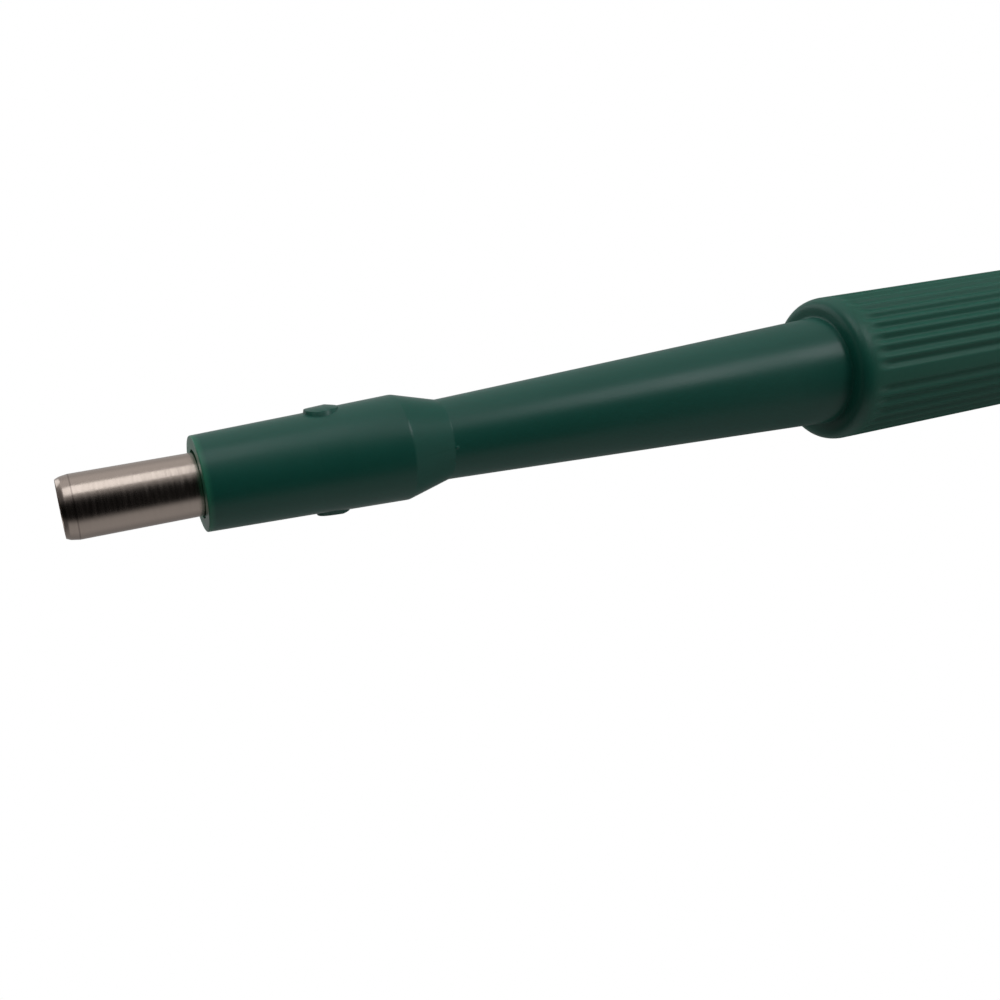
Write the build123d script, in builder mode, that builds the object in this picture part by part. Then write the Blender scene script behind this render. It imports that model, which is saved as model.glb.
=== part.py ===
from build123d import *

import os

# Hand-held sampling punch with a spring-return ejector.
#
# A sharpened steel tube is bonded into the nose of a one-piece moulded handle. A thumb button at the
# rear drives a stem, a steel rod and a plastic ejector head forward through the tube, and pushes out the
# core that the punch has cut. A compression spring brings them back.
#
# Frame: millimetres. The origin is the centre of the cutting edge, +X runs along the axis towards the
# thumb button, and +Z is up with the punch lying on its grip. Every piece is round about the X axis
# unless its own section says otherwise, so its profile is drawn with X along and Y as the radius.

os.makedirs("parts", exist_ok=True)

# ---- driving dimensions -----------------------------------------------------------------------------

# steel cutting tube
blade_bore_d = 4.0
blade_wall = 0.25
blade_exposed = 9.1  # cutting edge to the handle's nose face
blade_seated = 6.9  # held inside the nose
bevel_length = 0.75
edge_land = 0.02  # thickness left at the cutting edge
blade_lead_in = 0.12  # chamfer inside the rear end, where the ejector head enters

# outside of the handle, front to rear
nose_front_d = 6.85
nose_before_pads_d = 7.37  # the nose swells a little faster along the cap pads
nose_behind_pads_d = 7.65
nose_back_d = 7.97
nose_length = 14.85
nose_lip_r = 0.12
cone_length = 3.4
neck_front_d = 6.13
neck_back_d = 9.25
neck_length = 35.6
shoulder_inner_r = 0.12  # concave fillet between the neck and the grip's flat front face
shoulder_length = 2.25  # axial length of the rounded front corner of the grip
shoulder_rise = 0.36  # radial height of the same corner
grip_d = 12.5
grip_length = 52.05
grip_rear_r = 0.8

# round pads that hold a protective cap on the nose
pad_d = 2.4
pad_height = 0.26
pad_ramp_length = 0.55  # slope at the pad's rear, where the cap comes off
pad_rear_step = 0.05  # height left at the foot of that slope
pad_from_face = 9.2

# ribs of the grip: grooves at an equal pitch, with one left out at each mould parting line
groove_count = 36
groove_depth = 0.18
groove_cutter_r = 0.6
groove_front_inset = 2.0  # from the grip's front face to the groove's full depth
groove_rear_margin = 2.2

# glue well round the tube in the nose face
well_width = 0.2
well_depth = 0.7
glue_below_face = 0.12  # top of the glue against the tube
glue_sag = 0.1  # how much lower it lies at the well's wall

# inside of the handle
core_front_clearance = 0.08  # radial, more than the tube's bore
core_rear_d = 5.4
spring_seat_from_shoulder = 4.55  # depth of the spring's seat behind the neck
grip_bore_d = 9.2

# ejector
head_gap = 0.4  # head's rest distance behind the tube
head_clearance = 0.08  # radial, in the tube
head_length = 3.0
head_edge_r = 0.3
head_waist_depth = 0.3
head_lip_length = 0.7
past_edge = 0.6  # how far the head comes out of the tube
rod_d = 1.6
rod_in_head = 2.2
rod_in_stem = 6.0

# plunger stem
boss_d = 5.0  # nose of the stem, inside the spring
boss_length = 14.0
collar_thickness = 2.0
collar_clearance = 0.2  # radial, in the grip bore
stem_d = 5.9
stem_web = 1.5  # thickness of the cross-shaped section's arms
stem_clearance = 0.1  # radial, in the end cap
spigot_d = 3.6
spigot_length = 3.0

# end cap
cap_flange_d = 11.2
cap_flange_thickness = 1.4
cap_skirt_length = 12.0
cap_skirt_relief = 0.45  # radial, more than the guide hole
cap_web_thickness = 2.2  # guide length ahead of the flange
bead_height = 0.15
bead_width = 0.8
bead_clearance = 0.03
bead_from_rear = 6.0
stop_gap = 0.05  # between the resting collar and the cap

# thumb button
button_d = 9.8
button_thickness = 4.5
button_edge_r = 1.2
button_hub_d = 7.0
button_hub_length = 1.0
button_groove_depth = 0.2
button_groove_width = 0.5
button_groove_d = (4.4, 6.4)
button_gap = 0.6  # left between button and cap at full stroke

# return spring
wire_d = 0.5
spring_mean_d = 6.3
spring_turns = 12.5

# ---- derived places along the axis ------------------------------------------------------------------

nose_face_x = blade_exposed
blade_end_x = blade_exposed + blade_seated
pad_x = nose_face_x + pad_from_face
cone_x = nose_face_x + nose_length
neck_x = cone_x + cone_length
shoulder_x = neck_x + neck_length
barrel_x = shoulder_x + shoulder_length
rear_x = shoulder_x + grip_length
spring_seat_x = shoulder_x + spring_seat_from_shoulder
well_x = nose_face_x + well_depth

cap_front_x = rear_x - cap_skirt_length
bead_x = rear_x - bead_from_rear
collar_rear_x = cap_front_x - stop_gap
collar_front_x = collar_rear_x - collar_thickness
boss_x = collar_front_x - boss_length

head_x = blade_end_x + head_gap
stroke = head_x + past_edge
rod_x = head_x + head_length - rod_in_head
rod_end_x = boss_x + rod_in_stem

cap_rear_x = rear_x + cap_flange_thickness
button_x = cap_rear_x + stroke + button_gap
button_rear_x = button_x + button_hub_length + button_thickness

# ---- radii ------------------------------------------------------------------------------------------

bore_r = blade_bore_d / 2
core_front_r = bore_r + core_front_clearance
blade_r = bore_r + blade_wall
well_r = blade_r + well_width
grip_r = grip_d / 2
grip_bore_r = grip_bore_d / 2
head_r = bore_r - head_clearance
stem_r = stem_d / 2
guide_r = stem_r + stem_clearance
spigot_r = spigot_d / 2
rod_r = rod_d / 2
cap_skirt_inner_r = guide_r + cap_skirt_relief
spring_r = spring_mean_d / 2
wire_r = wire_d / 2


def save(part, name):
    """Label a finished piece and write it as its own STEP file."""
    part.label = name
    export_step(part, f"parts/{name}.step")


# ---- handle_body: one moulding, nose to grip --------------------------------------------------------

groove_axis_r = grip_r - groove_depth + groove_cutter_r
groove_x = shoulder_x + groove_front_inset
groove_end_x = rear_x - groove_rear_margin
groove_length = groove_end_x - groove_x
shoulder_face_r = neck_back_d / 2 + shoulder_inner_r
shoulder_corner_r = grip_r - shoulder_rise
pads_front_x = pad_x - pad_d / 2
pads_rear_x = pad_x + pad_d / 2
pads_slope = (nose_behind_pads_d - nose_before_pads_d) / 2 / pad_d
pads_crest_x = pads_rear_x - pad_ramp_length
pads_crest_r = nose_behind_pads_d / 2 + pad_height - pad_ramp_length * pads_slope

with BuildPart() as handle_body:
    with BuildSketch(Plane.XY):
        with BuildLine():
            # nose, cone and neck
            Polyline(
                (nose_face_x, 0),
                (nose_face_x, nose_front_d / 2 - nose_lip_r),
                (nose_face_x + nose_lip_r, nose_front_d / 2),
                (pads_front_x, nose_before_pads_d / 2),
                (pads_rear_x, nose_behind_pads_d / 2),
                (cone_x, nose_back_d / 2),
                (neck_x, neck_front_d / 2),
                (shoulder_x - shoulder_inner_r, neck_back_d / 2),
            )
            # fillet up to the grip's flat front face, then its rounded corner
            CenterArc(
                (shoulder_x - shoulder_inner_r, shoulder_face_r), shoulder_inner_r, 270, 90
            )
            Line((shoulder_x, shoulder_face_r), (shoulder_x, shoulder_corner_r))
            EllipticalCenterArc(
                (barrel_x, shoulder_corner_r),
                shoulder_length,
                shoulder_rise,
                start_angle=90,
                arc_size=90,
            )
            Line((barrel_x, grip_r), (rear_x - grip_rear_r, grip_r))
            CenterArc((rear_x - grip_rear_r, grip_r - grip_rear_r), grip_rear_r, 0, 90)
            Polyline((rear_x, grip_r - grip_rear_r), (rear_x, 0), (nose_face_x, 0))
        make_face()
    revolve(axis=Axis.X)

    # the two cap pads, up and down: an upright front wall, a top that follows the nose, a rear slope
    with BuildPart(mode=Mode.PRIVATE) as pads:
        with BuildSketch(Plane.XY):
            with Locations((pad_x, 0)):
                Circle(pad_d / 2)
        extrude(amount=grip_r, both=True)
        with BuildSketch(Plane.XY):
            with BuildLine():
                Polyline(
                    (pads_front_x, 0),
                    (pads_front_x, nose_before_pads_d / 2 + pad_height),
                    (pads_crest_x, pads_crest_r),
                    (pads_rear_x, nose_behind_pads_d / 2 + pad_rear_step),
                    (pads_rear_x, 0),
                    close=True,
                )
            make_face()
        revolve(axis=Axis.X, mode=Mode.INTERSECT)
    add(pads.part)

    # bore, front to rear: glue well, tube socket, drafted core, spring seat, grip bore, cap groove
    with BuildSketch(Plane.XY):
        with BuildLine():
            Polyline(
                (nose_face_x, 0),
                (nose_face_x, well_r),
                (well_x, well_r),
                (well_x, blade_r),
                (blade_end_x, blade_r),
                (blade_end_x, core_front_r),
                (spring_seat_x, core_rear_d / 2),
                (spring_seat_x, grip_bore_r),
                (bead_x - bead_width / 2, grip_bore_r),
                (bead_x - bead_width / 2, grip_bore_r + bead_height + bead_clearance),
                (bead_x + bead_width / 2, grip_bore_r + bead_height + bead_clearance),
                (bead_x + bead_width / 2, grip_bore_r),
                (rear_x, grip_bore_r),
                (rear_x, 0),
                (nose_face_x, 0),
            )
        make_face()
    revolve(axis=Axis.X, mode=Mode.SUBTRACT)

    # one round-ended groove, turned to every place but the two on the parting plane, +Y and -Y
    with BuildPart(mode=Mode.PRIVATE) as groove:
        with BuildSketch(Plane.XY):
            with BuildLine():
                Line(
                    (groove_x - groove_cutter_r, groove_axis_r),
                    (groove_end_x + groove_cutter_r, groove_axis_r),
                )
                CenterArc((groove_x, groove_axis_r), groove_cutter_r, 90, 90)
                Line(
                    (groove_x, groove_axis_r + groove_cutter_r),
                    (groove_end_x, groove_axis_r + groove_cutter_r),
                )
                CenterArc((groove_end_x, groove_axis_r), groove_cutter_r, 0, 90)
            make_face()
        revolve(axis=Axis((0, groove_axis_r, 0), (1, 0, 0)))
    parting_places = (0, groove_count // 2)
    for place in range(groove_count):
        if place not in parting_places:
            turned = groove.part.rotate(Axis.X, place * 360 / groove_count)
            add(turned, mode=Mode.SUBTRACT)
save(handle_body.part, "handle_body")


# ---- punch_blade: the sharpened tube ----------------------------------------------------------------

with BuildPart() as punch_blade:
    with BuildSketch(Plane.XY):
        with BuildLine():
            Polyline(
                (0, bore_r),
                (0, bore_r + edge_land),
                (bevel_length, blade_r),
                (blade_end_x, blade_r),
                (blade_end_x, bore_r + blade_lead_in),
                (blade_end_x - blade_lead_in, bore_r),
                close=True,
            )
        make_face()
    revolve(axis=Axis.X)
save(punch_blade.part, "punch_blade")


# ---- blade_glue: the cured ring that bonds the tube in its well ---------------------------------------

with BuildPart() as blade_glue:
    with BuildSketch(Plane.XY):
        with BuildLine():
            Polyline(
                (nose_face_x + glue_below_face, blade_r),
                (nose_face_x + glue_below_face + glue_sag, well_r),
                (well_x, well_r),
                (well_x, blade_r),
                close=True,
            )
        make_face()
    revolve(axis=Axis.X)
save(blade_glue.part, "blade_glue")


# ---- ejector_head: the plastic piston that pushes the core out ----------------------------------------

head_rear_x = head_x + head_length
head_waist_r = head_r - head_waist_depth

with BuildPart() as ejector_head:
    with BuildSketch(Plane.XY):
        with BuildLine():
            # a rounded front lip, a waist, and a rear lip
            Line((head_x, 0), (head_x, head_r - head_edge_r))
            CenterArc((head_x + head_edge_r, head_r - head_edge_r), head_edge_r, 90, 90)
            Polyline(
                (head_x + head_edge_r, head_r),
                (head_x + head_lip_length, head_r),
                (head_x + head_lip_length + head_waist_depth, head_waist_r),
                (head_rear_x - head_lip_length - head_waist_depth, head_waist_r),
                (head_rear_x - head_lip_length, head_r),
                (head_rear_x, head_r),
                (head_rear_x, rod_r),
                (rod_x, rod_r),
                (rod_x, 0),
                (head_x, 0),
            )
        make_face()
    revolve(axis=Axis.X)
save(ejector_head.part, "ejector_head")


# ---- ejector_rod: steel wire between the head and the stem --------------------------------------------

with BuildPart() as ejector_rod:
    with BuildSketch(Plane.YZ.offset(rod_x)):
        Circle(rod_r)
    extrude(amount=rod_end_x - rod_x)
save(ejector_rod.part, "ejector_rod")


# ---- plunger_stem: boss inside the spring, stop collar, and a cross-shaped stem out to the button ------

collar_r = grip_bore_r - collar_clearance
spigot_end_x = button_x + spigot_length

with BuildPart() as plunger_stem:
    with BuildSketch(Plane.YZ.offset(boss_x)):
        Circle(boss_d / 2)
    extrude(amount=boss_length)
    with BuildSketch(Plane.YZ.offset(collar_front_x)):
        Circle(collar_r)
    extrude(amount=collar_thickness)
    # two crossed webs, rounded to the guide hole's size
    with BuildSketch(Plane.YZ.offset(collar_rear_x)):
        Rectangle(stem_d, stem_web)
        Rectangle(stem_web, stem_d)
        Circle(stem_r, mode=Mode.INTERSECT)
    extrude(amount=button_x - collar_rear_x)
    with BuildSketch(Plane.YZ.offset(button_x)):
        Circle(spigot_r)
    extrude(amount=spigot_length)
    # socket for the rod
    with BuildSketch(Plane.YZ.offset(boss_x)):
        Circle(rod_r)
    extrude(amount=rod_in_stem, mode=Mode.SUBTRACT)
save(plunger_stem.part, "plunger_stem")


# ---- end_cap: closes the grip, guides the stem and stops its collar -----------------------------------

bead_r = grip_bore_r + bead_height
bead_flat = bead_width / 2 - bead_clearance

with BuildPart() as end_cap:
    with BuildSketch(Plane.XY):
        with BuildLine():
            Polyline(
                (cap_front_x, cap_skirt_inner_r),
                (cap_front_x, grip_bore_r),
                (bead_x - bead_flat, grip_bore_r),
                (bead_x - bead_flat + bead_height, bead_r),
                (bead_x + bead_flat - bead_height, bead_r),
                (bead_x + bead_flat, grip_bore_r),
                (rear_x, grip_bore_r),
                (rear_x, cap_flange_d / 2),
                (cap_rear_x - cap_flange_thickness / 2, cap_flange_d / 2),
                (cap_rear_x, cap_flange_d / 2 - cap_flange_thickness / 2),
                (cap_rear_x, guide_r),
                (rear_x - cap_web_thickness, guide_r),
                (rear_x - cap_web_thickness, cap_skirt_inner_r),
                close=True,
            )
        make_face()
    revolve(axis=Axis.X)
save(end_cap.part, "end_cap")


# ---- thumb_button: pressed on the stem's spigot -------------------------------------------------------

button_r = button_d / 2
button_disc_x = button_x + button_hub_length

with BuildPart() as thumb_button:
    with BuildSketch(Plane.XY):
        with BuildLine():
            Polyline(
                (button_x, spigot_r),
                (button_x, button_hub_d / 2),
                (button_disc_x, button_hub_d / 2),
                (button_disc_x, button_r - button_edge_r / 2),
                (button_disc_x + button_edge_r / 2, button_r),
                (button_rear_x - button_edge_r, button_r),
            )
            CenterArc(
                (button_rear_x - button_edge_r, button_r - button_edge_r), button_edge_r, 0, 90
            )
            Polyline(
                (button_rear_x, button_r - button_edge_r),
                (button_rear_x, 0),
                (spigot_end_x, 0),
                (spigot_end_x, spigot_r),
                (button_x, spigot_r),
            )
        make_face()
    revolve(axis=Axis.X)
    # ring grooves that keep the thumb from slipping
    with BuildSketch(Plane.YZ.offset(button_rear_x)):
        for diameter in button_groove_d:
            Circle(diameter / 2 + button_groove_width / 2)
            Circle(diameter / 2 - button_groove_width / 2, mode=Mode.SUBTRACT)
    extrude(amount=-button_groove_depth, mode=Mode.SUBTRACT)
save(thumb_button.part, "thumb_button")


# ---- return_spring: compression spring between the handle's seat and the collar ------------------------

spring_front_x = spring_seat_x + wire_r
spring_height = collar_front_x - wire_r - spring_front_x

with BuildPart() as return_spring:
    with BuildLine():
        coil = Helix(
            pitch=spring_height / spring_turns,
            height=spring_height,
            radius=spring_r,
            center=(spring_front_x, 0, 0),
            direction=(1, 0, 0),
        )
    with BuildSketch(Plane(origin=coil @ 0, z_dir=coil % 0)):
        Circle(wire_r)
    sweep(path=coil, is_frenet=True)
save(return_spring.part, "return_spring")
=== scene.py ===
"""The looks of a disposable sampling punch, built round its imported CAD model.

The punch's sizes are in millimetres, and MM turns them to metres. The softboxes, floor and backdrop
are in metres. A turned piece is drawn as a profile of points (x, r): x along the punch's axis from
the cutting edge, r out from the axis.
"""

import math

import bpy
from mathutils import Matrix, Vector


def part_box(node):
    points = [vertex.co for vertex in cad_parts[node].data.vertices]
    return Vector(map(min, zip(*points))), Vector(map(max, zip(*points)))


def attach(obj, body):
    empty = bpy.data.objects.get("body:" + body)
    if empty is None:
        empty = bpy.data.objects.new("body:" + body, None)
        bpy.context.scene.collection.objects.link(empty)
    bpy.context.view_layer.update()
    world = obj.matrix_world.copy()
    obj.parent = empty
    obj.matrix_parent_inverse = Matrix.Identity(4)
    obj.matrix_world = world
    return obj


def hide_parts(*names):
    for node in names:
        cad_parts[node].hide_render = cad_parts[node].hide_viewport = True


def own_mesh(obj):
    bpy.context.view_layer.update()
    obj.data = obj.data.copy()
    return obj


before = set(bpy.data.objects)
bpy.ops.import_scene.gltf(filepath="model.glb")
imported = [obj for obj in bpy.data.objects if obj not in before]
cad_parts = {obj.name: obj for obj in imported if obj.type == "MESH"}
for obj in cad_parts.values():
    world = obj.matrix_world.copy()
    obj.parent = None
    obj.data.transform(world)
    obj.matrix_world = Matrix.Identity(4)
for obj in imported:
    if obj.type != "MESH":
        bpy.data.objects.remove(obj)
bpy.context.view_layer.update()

MM = 0.001

# ---- camera -----------------------------------------------------------------------------------

lens = bpy.data.cameras.new("camera")
lens.sensor_width = 36
lens.lens = 40.58
lens.clip_start = 0.001
lens.clip_end = 20
camera = bpy.data.objects.new("camera", lens)
camera.location = (-1.56 * MM, -77.955 * MM, 20.888 * MM)
camera.rotation_euler = [math.radians(angle) for angle in (72.536, 4.315, -24.573)]
bpy.context.scene.collection.objects.link(camera)
bpy.context.scene.camera = camera

# ---- sizes ------------------------------------------------------------------------------------


def outline(node):
    """Where a turned CAD node starts and ends along the axis, and its radius."""
    low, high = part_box(node)
    return round(low.x / MM, 3), round(high.x / MM, 3), round(high.y / MM, 3)


nose_x, rear_x, grip_r = outline("handle_body")
edge_x, tube_end_x, tube_r = outline("punch_blade")
bead_x, well_x, well_r = outline("blade_glue")
cap_x, cap_rear_x, cap_r = outline("end_cap")
button_x, button_rear_x, button_r = outline("thumb_button")
head_x, head_rear_x, head_r = outline("ejector_head")
rod_x, rod_end_x, rod_r = outline("ejector_rod")
boss_x, spigot_end_x, collar_r = outline("plunger_stem")

CORE_R = 2.0  # of the core that the tube cuts
NOSE_R = 3.425
CONE_X, CONE_R = 23.95, 3.985
NECK_X, NECK_R = 27.35, 3.065
GATE_X = 27.48  # middle of the gate's trace
GATE_RINGS_FROM, GATE_RINGS_TO = (27.45, 3.069), (28.2, 3.099)
SHOULDER_X = 62.95
CORNER_R = 4.88  # where the shoulder's front face turns into its rounded corner
BARREL_X = 65.2  # where that corner ends
REAR_CORNER = 0.8
SEAT_X = 67.5  # where the spring rests in the grip
BORE_R = 4.6  # of the grip
PASSAGE_R = 2.7  # for the rod, at the spring's seat
GUIDE_R = 3.05  # of the stem's guide in the cap
SKIRT_R = 3.5  # inside the cap's skirt
SPIGOT_R = 1.8  # of the stem's end in the button
snap_x = rear_x - 6  # middle of the cap's snap bead and of its groove
collar_rear_x = cap_x - 0.05
collar_x = collar_rear_x - 2

RIBS = 36
RIB_STEPS = 12  # points across one rib and groove
RIB_TURN = 360 / RIBS
GROOVE_DEEP = 0.26
GROOVES_FROM, FRONT_RUN_OUT, FRONT_RINGS_TO = 64.1, 1.9, 66.1
GROOVES_TO, REAR_RUN_OUT, REAR_RINGS_FROM, REAR_RINGS_TO = 113.4, 1.25, 112.0, 113.6
PAD_X, PAD_R = 18.45, 1.2
PAD_MIDDLE_R, PAD_DEPTH = 3.6, 1.2
WEB_HALF = 0.75  # half the thickness of the stem's webs
WEB_R = 2.9
WIRE_R = 0.25  # of the spring's wire
COIL_R = 3.15
SPRING_TURNS = 12.5
CLOSED_TURNS = 1.0  # at each end
TURN_STEPS = 36

# ---- ways of working --------------------------------------------------------------------------


def lin(hex_code):
    """An sRGB hex value as linear RGBA."""
    parts = [int(hex_code[i : i + 2], 16) / 255 for i in (1, 3, 5)]
    return [c / 12.92 if c <= 0.04045 else ((c + 0.055) / 1.055) ** 2.4 for c in parts] + [1.0]


def put(tree, kind, inputs=None, **settings):
    """Adds one node with its settings. An input takes a value, or the socket that feeds it."""
    made = tree.nodes.new(kind)
    for key, value in settings.items():
        setattr(made, key, value)
    for key, value in (inputs or {}).items():
        if isinstance(value, bpy.types.NodeSocket):
            tree.links.new(value, made.inputs[key])
        else:
            made.inputs[key].default_value = value
    return made


def finish_of(name, settings):
    """A new material with its shader's constants set. Gives the material, its tree and shader."""
    material = bpy.data.materials.new(name)
    material.use_nodes = True
    shader = material.node_tree.nodes["Principled BSDF"]
    for key, value in settings.items():
        shader.inputs[key].default_value = value
    return material, material.node_tree, shader


def nothing_selected():
    """Leaves edit mode and clears the selection, so an operator acts only on what comes next."""
    if bpy.context.object and bpy.context.object.mode != "OBJECT":
        bpy.ops.object.mode_set(mode="OBJECT")
    bpy.ops.object.select_all(action="DESELECT")


def only(piece):
    """Makes one object the selected and active one."""
    nothing_selected()
    piece.select_set(True)
    bpy.context.view_layer.objects.active = piece


def settle(piece, name):
    """Names a piece, puts its place into its mesh and shades it smooth up to 35 degrees."""
    only(piece)
    piece.name = name
    bpy.ops.object.transform_apply(location=True, rotation=True, scale=True)
    bpy.ops.object.shade_smooth_by_angle(angle=math.radians(35))
    return piece


def rounded(corners, steps=4):
    """Points of a closed profile from corners (x, r) or (x, r, rounding)."""
    points = []
    for i, (x, r, *rounding) in enumerate(corners):
        if not rounding:
            points.append((x, r))
            continue
        before, after = corners[i - 1], corners[(i + 1) % len(corners)]
        a = (before[0] - x, before[1] - r)
        b = (after[0] - x, after[1] - r)
        la, lb = math.hypot(*a), math.hypot(*b)
        a, b = (a[0] / la, a[1] / la), (b[0] / lb, b[1] / lb)
        half = math.acos(max(-1, min(1, a[0] * b[0] + a[1] * b[1]))) / 2
        back = rounding[0] / math.tan(half)
        for k in range(steps + 1):
            # a quadratic curve between the two tangent points stands in for the arc
            t = k / steps
            pa, pb = back * (1 - t) ** 2, back * t**2
            points.append((x + a[0] * pa + b[0] * pb, r + a[1] * pa + b[1] * pb))
    return points


def quarter(centre, along, across, first, steps=8, full=2):
    """Points of a quarter ellipse about a centre (x, r), from the angle `first` for 90 degrees,
    without its two ends. Above 2, `full` fills the corner out towards a square one."""
    x, r = centre
    points = []
    for k in range(1, steps):
        a = math.radians(first + 90 * k / steps)
        reach = (abs(math.cos(a)) ** full + abs(math.sin(a)) ** full) ** (-1 / full)
        points.append((x + along * reach * math.cos(a), r + across * reach * math.sin(a)))
    return points


def between(start, end, count):
    """Points that divide a straight run, with its start and without its end."""
    (x0, r0), (x1, r1) = start, end
    return [(x0 + (x1 - x0) * k / count, r0 + (r1 - r0) * k / count) for k in range(count)]


def turned(name, profile, steps, closed=True):
    """A piece turned about the X axis: its profile is drawn as a chain of points and spun."""
    nothing_selected()
    bpy.ops.mesh.primitive_plane_add(size=MM, location=(0, 0, 0))
    piece = bpy.context.object
    bpy.ops.object.mode_set(mode="EDIT")
    bpy.ops.mesh.select_mode(type="VERT")
    bpy.ops.mesh.select_all(action="SELECT")
    bpy.ops.mesh.merge(type="CENTER")
    x, r = profile[0]
    bpy.ops.transform.translate(value=(x * MM, 0, r * MM))
    for nx, nr in profile[1:] + ([profile[0]] if closed else []):
        bpy.ops.mesh.extrude_region_move(
            TRANSFORM_OT_translate={"value": ((nx - x) * MM, 0, (nr - r) * MM)}
        )
        x, r = nx, nr
    bpy.ops.mesh.select_all(action="SELECT")
    bpy.ops.mesh.remove_doubles(threshold=1e-7)
    bpy.ops.mesh.spin(steps=steps, angle=2 * math.pi, center=(0, 0, 0), axis=(1, 0, 0))
    bpy.ops.mesh.select_all(action="SELECT")
    bpy.ops.mesh.remove_doubles(threshold=1e-6)
    bpy.ops.mesh.normals_make_consistent(inside=False)
    bpy.ops.object.mode_set(mode="OBJECT")
    return settle(piece, name)


def pick(piece, wanted):
    """Selects, in edit mode, the faces that pass a test of their centre and normal."""
    only(piece)
    bpy.ops.object.mode_set(mode="EDIT")
    bpy.ops.mesh.select_mode(type="FACE")
    bpy.ops.mesh.select_all(action="DESELECT")
    bpy.ops.object.mode_set(mode="OBJECT")
    for face in piece.data.polygons:
        face.select = wanted(face.center / MM, face.normal)
    bpy.ops.object.mode_set(mode="EDIT")


def applied(piece, kind, **settings):
    """Adds a modifier to a piece and applies it."""
    only(piece)
    modifier = piece.modifiers.new(kind.lower(), kind)
    for key, value in settings.items():
        setattr(modifier, key, value)
    bpy.ops.object.modifier_apply(modifier=modifier.name)


def dress(piece, material, body, node):
    """Gives a piece its finish, the body it rides on and the CAD node it stands for."""
    piece.data.materials.clear()
    piece.data.materials.append(material)
    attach(piece, body)
    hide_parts(node)


# ---- materials --------------------------------------------------------------------------------

# Polypropylene, dark green, injection moulded in a finely blasted tool: a satin skin with a broad
# soft gloss, slightly waxy, with faint flow marks about 11 mm long and 2.4 mm wide along the
# moulding, and a grain of about 0.1 mm. The thin lip of the nose is painted paler green, a painted
# glow that stands in for light shining through it. The grip is blasted more coarsely, so it is
# less glossy; its paler tint is painted light that stands in for the more diffuse light it catches.
green, tree, shader = finish_of(
    "polypropylene_green_satin",
    {
        "IOR": 1.49,
        "Subsurface Weight": 0.25,
        "Subsurface Radius": (0.2, 1.0, 0.8),
        "Subsurface Scale": 0.5 * MM,
    },
)
place = put(tree, "ShaderNodeTexCoord")
spot = put(tree, "ShaderNodeSeparateXYZ", {"Vector": place.outputs["Object"]})
along = put(
    tree, "ShaderNodeMapping", {"Vector": place.outputs["Object"], "Scale": (90, 420, 420)}
)
flow = put(
    tree, "ShaderNodeTexNoise", {"Vector": along.outputs[0], "Scale": 1.0, "Detail": 3.0}
)
tint = put(
    tree,
    "ShaderNodeMix",
    {"Factor": flow.outputs["Fac"], "A": lin("#1D6858"), "B": lin("#227061")},
    data_type="RGBA",
)
# painted light: a paler green band at the nose's front edge stands in for light shining through its
# thin lip
painted_glow_mask = put(
    tree,
    "ShaderNodeMapRange",
    {
        "Value": spot.outputs["X"],
        "From Min": (nose_x + 0.05) * MM,
        "From Max": (nose_x + 0.5) * MM,
        "To Min": 0.75,
        "To Max": 0.0,
    },
)
painted_lip_glow = put(
    tree,
    "ShaderNodeMix",
    {"Factor": painted_glow_mask.outputs[0], "A": tint.outputs["Result"], "B": lin("#3F9A77")},
    data_type="RGBA",
)
# where the grip starts: this drives both its higher roughness and its painted paler tint
grip = put(
    tree,
    "ShaderNodeMapRange",
    {
        "Value": spot.outputs["X"],
        "From Min": (SHOULDER_X - 0.35) * MM,
        "From Max": (SHOULDER_X + 1.55) * MM,
        "To Min": 0.0,
        "To Max": 0.5,
    },
)
# painted light: the grip is tinted paler green for the more diffuse light it catches; this colour
# also carries the painted glow at the nose's lip
tint_with_painted_light = put(
    tree,
    "ShaderNodeMix",
    {"Factor": grip.outputs[0], "A": painted_lip_glow.outputs["Result"], "B": lin("#2A7F66")},
    data_type="RGBA",
)
tree.links.new(tint_with_painted_light.outputs["Result"], shader.inputs["Base Color"])
gloss = put(
    tree,
    "ShaderNodeMapRange",
    {
        "Value": flow.outputs["Fac"],
        "From Min": 0.3,
        "From Max": 0.7,
        "To Min": 0.3,
        "To Max": 0.37,
    },
)
coarse = put(
    tree,
    "ShaderNodeMath",
    {0: grip.outputs[0], 1: 0.18, 2: gloss.outputs[0]},
    operation="MULTIPLY_ADD",
)
tree.links.new(coarse.outputs[0], shader.inputs["Roughness"])
blasted = put(
    tree,
    "ShaderNodeTexNoise",
    {"Vector": place.outputs["Object"], "Scale": 9000.0, "Detail": 2.0},
)
skin = put(
    tree,
    "ShaderNodeBump",
    {"Height": blasted.outputs["Fac"], "Strength": 0.12, "Distance": 0.02 * MM},
)
tree.links.new(skin.outputs[0], shader.inputs["Normal"])

# Stainless steel 304, drawn tube, centreless ground: warm grey metal with fine rings round the
# tube, about 0.24 mm apart, and a thin darker ring where the grinding of the bevel stops.
steel, tree, shader = finish_of("stainless_tube_ground", {"Metallic": 1.0})
place = put(tree, "ShaderNodeTexCoord")
rings = put(
    tree, "ShaderNodeMapping", {"Vector": place.outputs["Object"], "Scale": (4200, 500, 500)}
)
ground = put(tree, "ShaderNodeTexNoise", {"Vector": rings.outputs[0], "Scale": 1.0, "Detail": 3.0})
rough = put(
    tree,
    "ShaderNodeMapRange",
    {
        "Value": ground.outputs["Fac"],
        "From Min": 0.3,
        "From Max": 0.7,
        "To Min": 0.17,
        "To Max": 0.27,
    },
)
tree.links.new(rough.outputs[0], shader.inputs["Roughness"])
spot = put(tree, "ShaderNodeSeparateXYZ", {"Vector": place.outputs["Object"]})
past = put(
    tree,
    "ShaderNodeMath",
    {0: spot.outputs["X"], 1: (edge_x + 0.86) * MM},
    operation="SUBTRACT",
)
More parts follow.
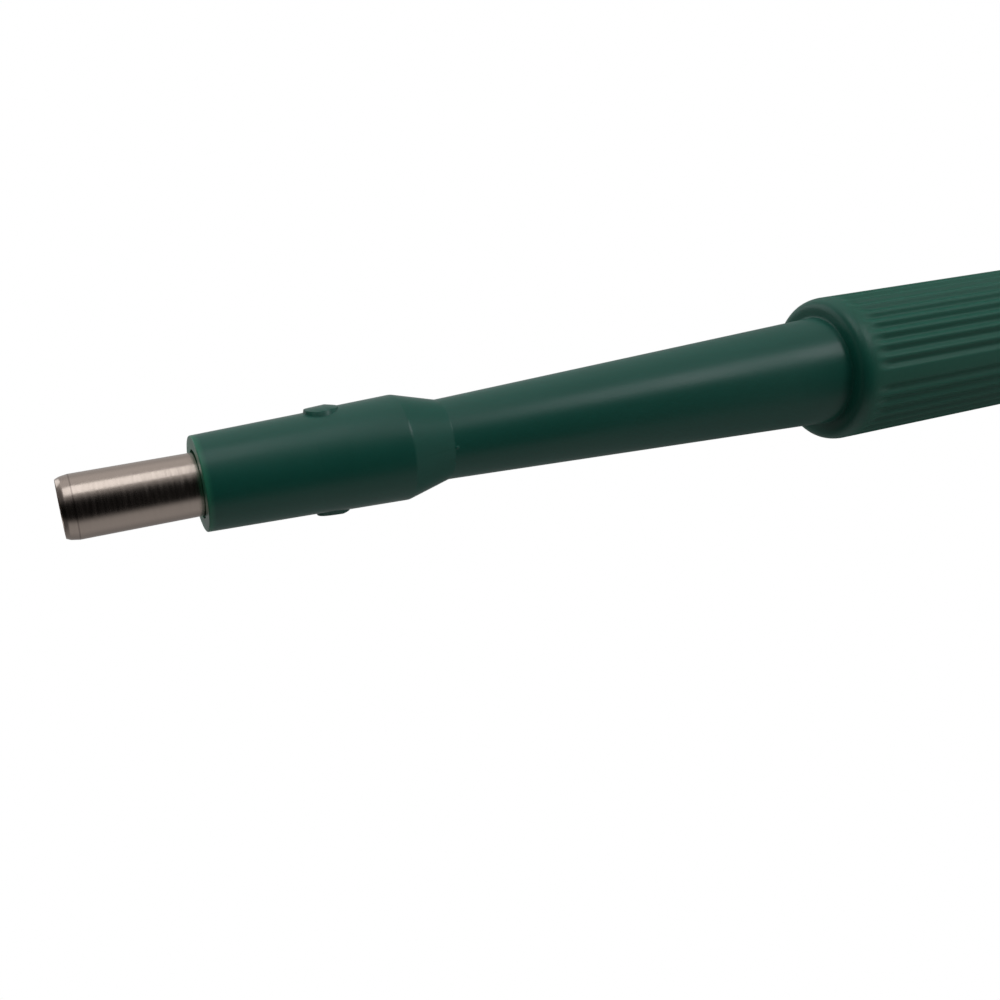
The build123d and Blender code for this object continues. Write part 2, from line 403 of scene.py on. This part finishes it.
off = put(tree, "ShaderNodeMath", {0: past.outputs[0]}, operation="ABSOLUTE")
bevel_ring = put(
    tree,
    "ShaderNodeMapRange",
    {
        "Value": off.outputs[0],
        "From Min": 0.02 * MM,
        "From Max": 0.07 * MM,
        "To Min": 0.5,
        "To Max": 0.0,
    },
)
metal = put(
    tree,
    "ShaderNodeMix",
    {"Factor": bevel_ring.outputs[0], "A": lin("#CFBFB4"), "B": lin("#7D716B")},
    data_type="RGBA",
)
tree.links.new(metal.outputs["Result"], shader.inputs["Base Color"])
marks = put(
    tree,
    "ShaderNodeBump",
    {"Height": ground.outputs["Fac"], "Strength": 0.4, "Distance": 0.01 * MM},
)
tree.links.new(marks.outputs[0], shader.inputs["Normal"])

# Stainless spring wire, drawn bright, with duller patches of about 0.3 mm.
wire, tree, shader = finish_of(
    "spring_wire_drawn", {"Base Color": lin("#C4C2BE"), "Metallic": 1.0}
)
place = put(tree, "ShaderNodeTexCoord")
drawn = put(
    tree,
    "ShaderNodeTexNoise",
    {"Vector": place.outputs["Object"], "Scale": 3000.0, "Detail": 2.0},
)
rough = put(
    tree,
    "ShaderNodeMapRange",
    {
        "Value": drawn.outputs["Fac"],
        "From Min": 0.3,
        "From Max": 0.7,
        "To Min": 0.18,
        "To Max": 0.3,
    },
)
tree.links.new(rough.outputs[0], shader.inputs["Roughness"])

# Acetal, natural, injection moulded: off-white, slightly translucent, smooth and slippery, with
# faint clouds of about 4 mm and a grain under 0.2 mm.
acetal, tree, shader = finish_of(
    "acetal_natural_moulded",
    {"Roughness": 0.34, "IOR": 1.48, "Subsurface Weight": 0.2, "Subsurface Scale": 1.0 * MM},
)
place = put(tree, "ShaderNodeTexCoord")
cloud = put(
    tree,
    "ShaderNodeTexNoise",
    {"Vector": place.outputs["Object"], "Scale": 260.0, "Detail": 3.0},
)
tint = put(
    tree,
    "ShaderNodeMix",
    {"Factor": cloud.outputs["Fac"], "A": lin("#D6D6CC"), "B": lin("#E2E2DA")},
    data_type="RGBA",
)
tree.links.new(tint.outputs["Result"], shader.inputs["Base Color"])
grain = put(
    tree,
    "ShaderNodeTexNoise",
    {"Vector": place.outputs["Object"], "Scale": 6000.0, "Detail": 2.0},
)
skin = put(
    tree,
    "ShaderNodeBump",
    {"Height": grain.outputs["Fac"], "Strength": 0.1, "Distance": 0.02 * MM},
)
tree.links.new(skin.outputs[0], shader.inputs["Normal"])

# Acrylic adhesive, cured under ultraviolet light: a glossy, nearly clear bead with a surface that
# ripples every 0.7 mm or so. Its dark colour is painted shade that stands in for the shade of its
# deep well.
glue, tree, shader = finish_of("acrylic_adhesive_cured", {"Roughness": 0.16, "IOR": 1.5})
place = put(tree, "ShaderNodeTexCoord")
lumps = put(
    tree,
    "ShaderNodeTexNoise",
    {"Vector": place.outputs["Object"], "Scale": 1500.0, "Detail": 2.0},
)
# painted shade: the nearly clear bead is coloured dark green-grey for the shade in its deep well,
# varied at random by the lumps
tint = put(
    tree,
    "ShaderNodeMix",
    {"Factor": lumps.outputs["Fac"], "A": lin("#16221E"), "B": lin("#2C3A34")},
    data_type="RGBA",
)
tree.links.new(tint.outputs["Result"], shader.inputs["Base Color"])
ripple = put(
    tree,
    "ShaderNodeBump",
    {"Height": lumps.outputs["Fac"], "Strength": 0.4, "Distance": 0.1 * MM},
)
tree.links.new(ripple.outputs[0], shader.inputs["Normal"])

# ---- handle: one moulding with its ribs, its cap pads and the trace of its gate ----------------


def groove_run(x):
    """How much of the groove's full depth there is at a place along the grip."""
    front = min(1, max(0, (x - GROOVES_FROM) / FRONT_RUN_OUT))
    rear = min(1, max(0, (GROOVES_TO - x) / REAR_RUN_OUT))
    run = min(front, rear)
    return run * run * (3 - 2 * run)


crease = (SHOULDER_X - 0.12, 4.625)  # where the neck meets the grip's front face
profile = [
    # nose, with its swelling along the cap pads, and cone
    (nose_x, well_r, 0.04),
    (nose_x, NOSE_R, 0.11),
    (17.1, 3.685, 2.0),
    (19.5, 3.825, 2.0),
    (CONE_X, CONE_R, 1.0),
    (NECK_X, NECK_R, 0.5),
    # neck, with close rings where the gate's trace stands
    *between(GATE_RINGS_FROM, GATE_RINGS_TO, 10),
    *between(GATE_RINGS_TO, crease, 6),
    # front face of the grip, which crowns softly into the rounded corner
    crease,
    (SHOULDER_X - 0.03, 4.65),
    (SHOULDER_X, 4.7),
    (SHOULDER_X, CORNER_R),
    *quarter((BARREL_X, CORNER_R), SHOULDER_X - BARREL_X, grip_r - CORNER_R, 0, 24, full=3.7),
    # barrel, with close rings at both run-outs of the grooves
    *between((BARREL_X, grip_r), (FRONT_RINGS_TO, grip_r), 9),
    *between((FRONT_RINGS_TO, grip_r), (REAR_RINGS_FROM, grip_r), 6),
    *between((REAR_RINGS_FROM, grip_r), (REAR_RINGS_TO, grip_r), 12),
    (rear_x - REAR_CORNER, grip_r),
    *quarter((rear_x - REAR_CORNER, grip_r - REAR_CORNER), REAR_CORNER, -REAR_CORNER, 270),
    (rear_x, grip_r - REAR_CORNER),
    (rear_x, BORE_R, 0.1),
    # inside, from the cap's snap groove to the adhesive well
    (snap_x + 0.4, BORE_R),
    (snap_x + 0.4, BORE_R + 0.18),
    (snap_x - 0.4, BORE_R + 0.18),
    (snap_x - 0.4, BORE_R),
    (SEAT_X, BORE_R),
    (SEAT_X, PASSAGE_R),
    (tube_end_x, CORE_R + 0.08),
    (tube_end_x, tube_r),
    (well_x, tube_r),
    (well_x, well_r),
]
handle = turned("handle_moulding", rounded(profile, steps=5), RIBS * RIB_STEPS)

# the grooves, with two left out at the mould's parting lines, and the raised trace of the gate
grooves = handle.vertex_groups.new(name="grooves")
gate = handle.vertex_groups.new(name="gate")
for vertex in handle.data.vertices:
    x, y, z = vertex.co / MM
    r = math.hypot(y, z)
    if r > grip_r - 0.55:
        turn = math.degrees(math.atan2(z, -y)) % 360
        nearest = round(turn / RIB_TURN)
        off_middle = (turn - nearest * RIB_TURN) / (RIB_TURN / 2)
        deep = (0.5 + 0.5 * math.cos(math.pi * off_middle)) * groove_run(x)
        if nearest % (RIBS // 2) and deep > 0:
            grooves.add([vertex.index], deep, "REPLACE")
    elif r > NECK_R - 0.165 and y < 0:
        away = math.hypot((x - GATE_X) / 0.2, z / 0.14)
        if away < 1:
            gate.add([vertex.index], (1 - away * away) ** 2, "REPLACE")
applied(handle, "DISPLACE", vertex_group="grooves", mid_level=0, strength=-GROOVE_DEEP * MM)
applied(handle, "DISPLACE", vertex_group="gate", mid_level=0, strength=0.07 * MM)

# cap pads: two upright discs cut off at a skin that follows the nose
crown = turned(
    "crown",
    [(16.9, 0), (16.9, 3.935), (18.95, 4.053), (19.8, 3.875), (20.2, 3.85), (20.2, 0)],
    180,
    closed=False,
)
for side in (1, -1):
    nothing_selected()
    bpy.ops.mesh.primitive_cylinder_add(
        vertices=72,
        radius=PAD_R * MM,
        depth=PAD_DEPTH * MM,
        location=(PAD_X * MM, 0, side * PAD_MIDDLE_R * MM),
    )
    pad = settle(bpy.context.object, "pad")
    # drawn in at its top, most across the nose, so that its wall leans
    for end, size in ((1, (0.98, 0.72, 1)), (-1, (1.2, 1.3, 1))):
        pick(pad, lambda centre, normal: normal.z * side * end > 0.9)
        end_z = side * (PAD_MIDDLE_R + end * PAD_DEPTH / 2)
        bpy.ops.transform.resize(value=size, center_override=(PAD_X * MM, 0, end_z * MM))
        bpy.ops.object.mode_set(mode="OBJECT")
    applied(pad, "BOOLEAN", object=crown, operation="INTERSECT", solver="EXACT")
    applied(
        pad,
        "BEVEL",
        width=0.16 * MM,
        segments=6,
        limit_method="ANGLE",
        angle_limit=math.radians(28),
    )
    only(handle)
    pad.select_set(True)
    bpy.ops.object.join()
bpy.data.objects.remove(crown)
settle(handle, "handle_moulding")
dress(handle, green, "handle", "handle_body")

# ---- cutting tube and the adhesive round it ---------------------------------------------------

tube = turned(
    "cutting_tube",
    rounded(
        [
            (edge_x, CORE_R),
            (edge_x, CORE_R + 0.02, 0.008),
            (edge_x + 0.28, CORE_R + 0.155, 0.5),
            (edge_x + 0.85, tube_r, 0.5),
            (tube_end_x, tube_r, 0.04),
            (tube_end_x, CORE_R + 0.12),
            (tube_end_x - 0.12, CORE_R),
        ]
    ),
    192,
)
dress(tube, steel, "handle", "punch_blade")

bead = turned(
    "adhesive_ring",
    [
        (bead_x, tube_r),
        (bead_x + 0.05, tube_r + 0.05),
        (bead_x + 0.08, tube_r + 0.11),
        (bead_x + 0.1, well_r),
        (well_x, well_r),
        (well_x, tube_r),
    ],
    144,
)
dress(bead, glue, "handle", "blade_glue")

# ---- end cap and button -----------------------------------------------------------------------

cap = turned(
    "end_cap_moulding",
    rounded(
        [
            (cap_x, SKIRT_R),
            (cap_x, BORE_R, 0.2),
            (snap_x - 0.37, BORE_R),
            (snap_x - 0.22, BORE_R + 0.15, 0.05),
            (snap_x + 0.22, BORE_R + 0.15, 0.05),
            (snap_x + 0.37, BORE_R),
            (rear_x, BORE_R),
            (rear_x, cap_r, 0.12),
            (cap_rear_x - 0.7, cap_r, 0.3),
            (cap_rear_x, cap_r - 0.7, 0.25),
            (cap_rear_x, GUIDE_R, 0.15),
            (rear_x - 2.2, GUIDE_R, 0.1),
            (rear_x - 2.2, SKIRT_R),
        ]
    ),
    144,
)
dress(cap, green, "handle", "end_cap")


def button_groove(outer_r):
    """Corners of a ring groove in the button's face, from its outer edge inwards."""
    floor_x = button_rear_x - 0.2
    return [
        (button_rear_x, outer_r, 0.08),
        (floor_x, outer_r - 0.05, 0.05),
        (floor_x, outer_r - 0.45, 0.05),
        (button_rear_x, outer_r - 0.5, 0.08),
    ]


button = turned(
    "thumb_button_moulding",
    rounded(
        [
            (button_x, SPIGOT_R),
            (button_x, 3.5, 0.15),
            (button_x + 1, 3.5, 0.2),
            (button_x + 1, button_r - 0.6, 0.2),
            (button_x + 1.6, button_r, 0.4),
            (button_rear_x - 1.2, button_r, 0.2),
            (button_rear_x, button_r, 1.15),
            *button_groove(3.45),
            *button_groove(2.45),
            (button_rear_x, 0.0),
            (spigot_end_x, 0.0),
            (spigot_end_x, SPIGOT_R),
        ]
    ),
    144,
)
dress(button, acetal, "plunger", "thumb_button")

# ---- ejector: head, rod and stem --------------------------------------------------------------

head = turned(
    "ejector_head_moulding",
    rounded(
        [
            (head_x, 0.0),
            (head_x, head_r, 0.3),
            (head_x + 0.7, head_r, 0.06),
            (head_x + 1.0, head_r - 0.3, 0.06),
            (head_rear_x - 1.0, head_r - 0.3, 0.06),
            (head_rear_x - 0.7, head_r, 0.06),
            (head_rear_x, head_r, 0.08),
            (head_rear_x, rod_r, 0.05),
            (rod_x, rod_r),
            (rod_x, 0.0),
        ]
    ),
    96,
)
dress(head, acetal, "plunger", "ejector_head")

rod = turned(
    "ejector_rod_wire",
    rounded([(rod_x, 0.0), (rod_x, rod_r, 0.1), (rod_end_x, rod_r, 0.1), (rod_end_x, 0.0)]),
    48,
)
dress(rod, wire, "plunger", "ejector_rod")

# stem: boss with the rod's socket, stop collar, a thin core and the button's spigot
stem = turned(
    "plunger_stem_moulding",
    rounded(
        [
            (boss_x, rod_r),
            (boss_x, 2.5, 0.3),
            (collar_x, 2.5, 0.15),
            (collar_x, collar_r, 0.25),
            (collar_rear_x, collar_r, 0.25),
            (collar_rear_x, 1.0, 0.1),
            (button_x, 1.0),
            (button_x, SPIGOT_R),
            (spigot_end_x, SPIGOT_R, 0.2),
            (spigot_end_x, 0.0),
            (rod_end_x, 0.0),
            (rod_end_x, rod_r),
        ]
    ),
    96,
)

# its cross-shaped length: a square bar with each long side drawn out into a web
nothing_selected()
bpy.ops.mesh.primitive_cube_add(
    size=1,
    location=((collar_rear_x + button_x) / 2 * MM, 0, 0),
    scale=((button_x - collar_rear_x) * MM, 2 * WEB_HALF * MM, 2 * WEB_HALF * MM),
)
cross = settle(bpy.context.object, "cross")
for out in ((0, 1, 0), (0, 0, 1), (0, -1, 0), (0, 0, -1)):
    pick(
        cross,
        lambda centre, normal: normal.dot(out) > 0.9
        and math.hypot(centre.y, centre.z) < WEB_HALF + 0.01,
    )
    bpy.ops.mesh.extrude_region_move(
        TRANSFORM_OT_translate={"value": [(WEB_R - WEB_HALF) * MM * part for part in out]}
    )
    bpy.ops.object.mode_set(mode="OBJECT")
applied(
    cross,
    "BEVEL",
    width=0.2 * MM,
    segments=3,
    limit_method="ANGLE",
    angle_limit=math.radians(50),
)
applied(stem, "BOOLEAN", object=cross, operation="UNION", solver="EXACT")
bpy.data.objects.remove(cross)
settle(stem, "plunger_stem_moulding")
dress(stem, acetal, "plunger", "plunger_stem")

# ---- return spring: closed end turns and an open middle ----------------------------------------

first_x = SEAT_X + WIRE_R
last_x = collar_x - WIRE_R
closed_rise = 2 * WIRE_R  # a turn of touching wire
open_rise = (last_x - first_x - 2 * CLOSED_TURNS * closed_rise) / (
    SPRING_TURNS - 2 * CLOSED_TURNS
)
coil = bpy.data.curves.new("return_spring_wire", "CURVE")
coil.dimensions = "3D"
coil.bevel_depth = WIRE_R * MM
coil.bevel_resolution = 3
coil.use_fill_caps = True
path = coil.splines.new("POLY")
count = int(SPRING_TURNS * TURN_STEPS) + 1
path.points.add(count - 1)
for k in range(count):
    turns = k / TURN_STEPS
    closed = min(turns, CLOSED_TURNS) + max(0, turns - (SPRING_TURNS - CLOSED_TURNS))
    x = first_x + closed * closed_rise + (turns - closed) * open_rise
    a = 2 * math.pi * turns
    path.points[k].co = (x * MM, COIL_R * MM * math.cos(a), COIL_R * MM * math.sin(a), 1)
spring = bpy.data.objects.new("return_spring_wire", coil)
bpy.context.scene.collection.objects.link(spring)
only(spring)
bpy.ops.object.convert(target="MESH")
settle(spring, "return_spring_wire")
dress(spring, wire, "handle", "return_spring")
# the keep leaves the spring's end just clear of the collar at full travel
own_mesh(spring)

# ---- light tent -------------------------------------------------------------------------------

world = bpy.data.worlds.new("light_tent")
world.use_nodes = True
bpy.context.scene.world = world
tree = world.node_tree
tree.nodes.clear()
way = put(tree, "ShaderNodeTexCoord")
parts = put(tree, "ShaderNodeSeparateXYZ", {"Vector": way.outputs["Generated"]})
front = put(tree, "ShaderNodeMath", {0: parts.outputs["Y"], 1: -1.0}, operation="MULTIPLY")
angle = put(
    tree, "ShaderNodeMath", {0: parts.outputs["Z"], 1: front.outputs[0]}, operation="ARCTAN2"
)
share = put(
    tree,
    "ShaderNodeMapRange",
    {"Value": angle.outputs[0], "From Min": -math.pi, "From Max": math.pi},
)


def tent_ring(levels):
    """One ring of the tent: its level at angles about the punch's axis, counted up from the
    front, in degrees."""
    ring = put(tree, "ShaderNodeValToRGB", {"Fac": share.outputs[0]})
    elements = ring.color_ramp.elements
    while len(elements) < len(levels):
        elements.new(0.5)
    for element, (degrees, level) in zip(elements, levels):
        element.position = (degrees + 180) / 360
        element.color = (level, level, level, 1)
    return ring.outputs["Color"]


# round the tube and nose the tent has its dark opening in front, for the lens
open_ring = tent_ring(
    [
        (-180, 0.43), (-150, 0.3), (-130, 0.2), (-115, 0.21), (-100, 0.26), (-85, 0.31),
        (-55, 0.3), (-47, 0.26), (-40, 0.17), (-32, 0.05), (-24, 0.006), (24, 0.003),
        (36, 0.02), (45, 0.13), (52, 0.25), (62, 0.38), (90, 0.43), (105, 0.5),
        (120, 0.52), (140, 0.38), (180, 0.43),
    ]
)
# towards the button's end it closes, and the floor below lies in the grip's own shade
closed_ring = tent_ring(
    [
        (-180, 0.12), (-130, 0.05), (-106, 0.05), (-86, 0.1), (-70, 0.16), (-50, 0.2),
        (-30, 0.22), (0, 0.18), (30, 0.2), (50, 0.28), (62, 0.33), (90, 0.31),
        (105, 0.26), (118, 0.2), (140, 0.2), (180, 0.2),
    ]
)
closing = put(
    tree,
    "ShaderNodeMapRange",
    {"Value": parts.outputs["X"], "From Min": 0.35, "From Max": 0.65},
)
walls = put(
    tree,
    "ShaderNodeMix",
    {"Factor": closing.outputs[0], "A": open_ring, "B": closed_ring},
    data_type="RGBA",
)
# beyond the cutting edge the tent is open and the room behind it dim
dimmed = put(
    tree,
    "ShaderNodeMapRange",
    {
        "Value": parts.outputs["X"],
        "From Min": -0.65,
        "From Max": -0.35,
        "To Min": 0.25,
        "To Max": 1.0,
    },
)
# behind the button a white sheet lights what faces the rear
rear_sheet = put(
    tree,
    "ShaderNodeMapRange",
    {
        "Value": parts.outputs["X"],
        "From Min": 0.86,
        "From Max": 0.94,
        "To Min": 0.0,
        "To Max": 0.45,
    },
)
tent = put(
    tree,
    "ShaderNodeMix",
    {"Factor": 1.0, "A": walls.outputs["Result"], "B": rear_sheet.outputs[0]},
    data_type="RGBA",
    blend_type="ADD",
)
back = put(
    tree,
    "ShaderNodeBackground",
    {"Color": tent.outputs["Result"], "Strength": dimmed.outputs[0]},
)
put(tree, "ShaderNodeOutputWorld", {"Surface": back.outputs[0]})

# ---- softboxes --------------------------------------------------------------------------------

SOFTBOX_AWAY = 0.9  # metres from the cutting edge


def softbox(name, turn, lean, across, along, level):
    """A softbox that faces the cutting edge. Its turn about the punch's axis is counted up from
    the front and its lean towards the button; across and along are the angles it fills. All are
    in degrees."""
    light = bpy.data.lights.new(name, "AREA")
    light.shape = "RECTANGLE"
    light.size = 2 * SOFTBOX_AWAY * math.tan(math.radians(along / 2))
    light.size_y = 2 * SOFTBOX_AWAY * math.tan(math.radians(across / 2))
    light.energy = level * math.pi * light.size * light.size_y
    light.color = (0.95, 1.0, 1.03)
    lamp = bpy.data.objects.new(name, light)
    lamp.rotation_mode = "YXZ"
    lamp.rotation_euler = (math.radians(90 - turn), math.radians(lean), 0)
    out = math.cos(math.radians(lean)) * SOFTBOX_AWAY
    lamp.location = (
        math.sin(math.radians(lean)) * SOFTBOX_AWAY,
        -math.cos(math.radians(turn)) * out,
        math.sin(math.radians(turn)) * out,
    )
    bpy.context.scene.collection.objects.link(lamp)


softbox("softbox_overhead", turn=75, lean=-4, across=32, along=33, level=0.98)
softbox("softbox_right", turn=51, lean=31, across=23, along=13, level=3.2)
softbox("softbox_behind", turn=150, lean=-35, across=40, along=40, level=0.8)

# ---- floor and backdrop: white paper that shows as pure white and lights nothing ----------------

paper, tree, shader = finish_of(
    "white_paper",
    {
        "Base Color": (0, 0, 0, 1),
        "Specular IOR Level": 0.0,
        "Emission Color": (1, 1, 1, 1),
        "Emission Strength": 1.0,
    },
)
middle_x = 70 * MM
nothing_selected()
bpy.ops.mesh.primitive_uv_sphere_add(
    segments=48, ring_count=24, radius=0.85, location=(middle_x, 0, 0)
)
backdrop = bpy.context.object
backdrop.name = "backdrop"
bpy.ops.mesh.primitive_plane_add(size=1.3, location=(middle_x, 0, -0.45))
floor = bpy.context.object
floor.name = "floor"
for surface in (backdrop, floor):
    surface.data.materials.append(paper)
    surface.visible_glossy = False
    surface.visible_diffuse = False
    surface.visible_transmission = False
    surface.visible_shadow = False

bpy.context.scene.view_settings.view_transform = "Standard"
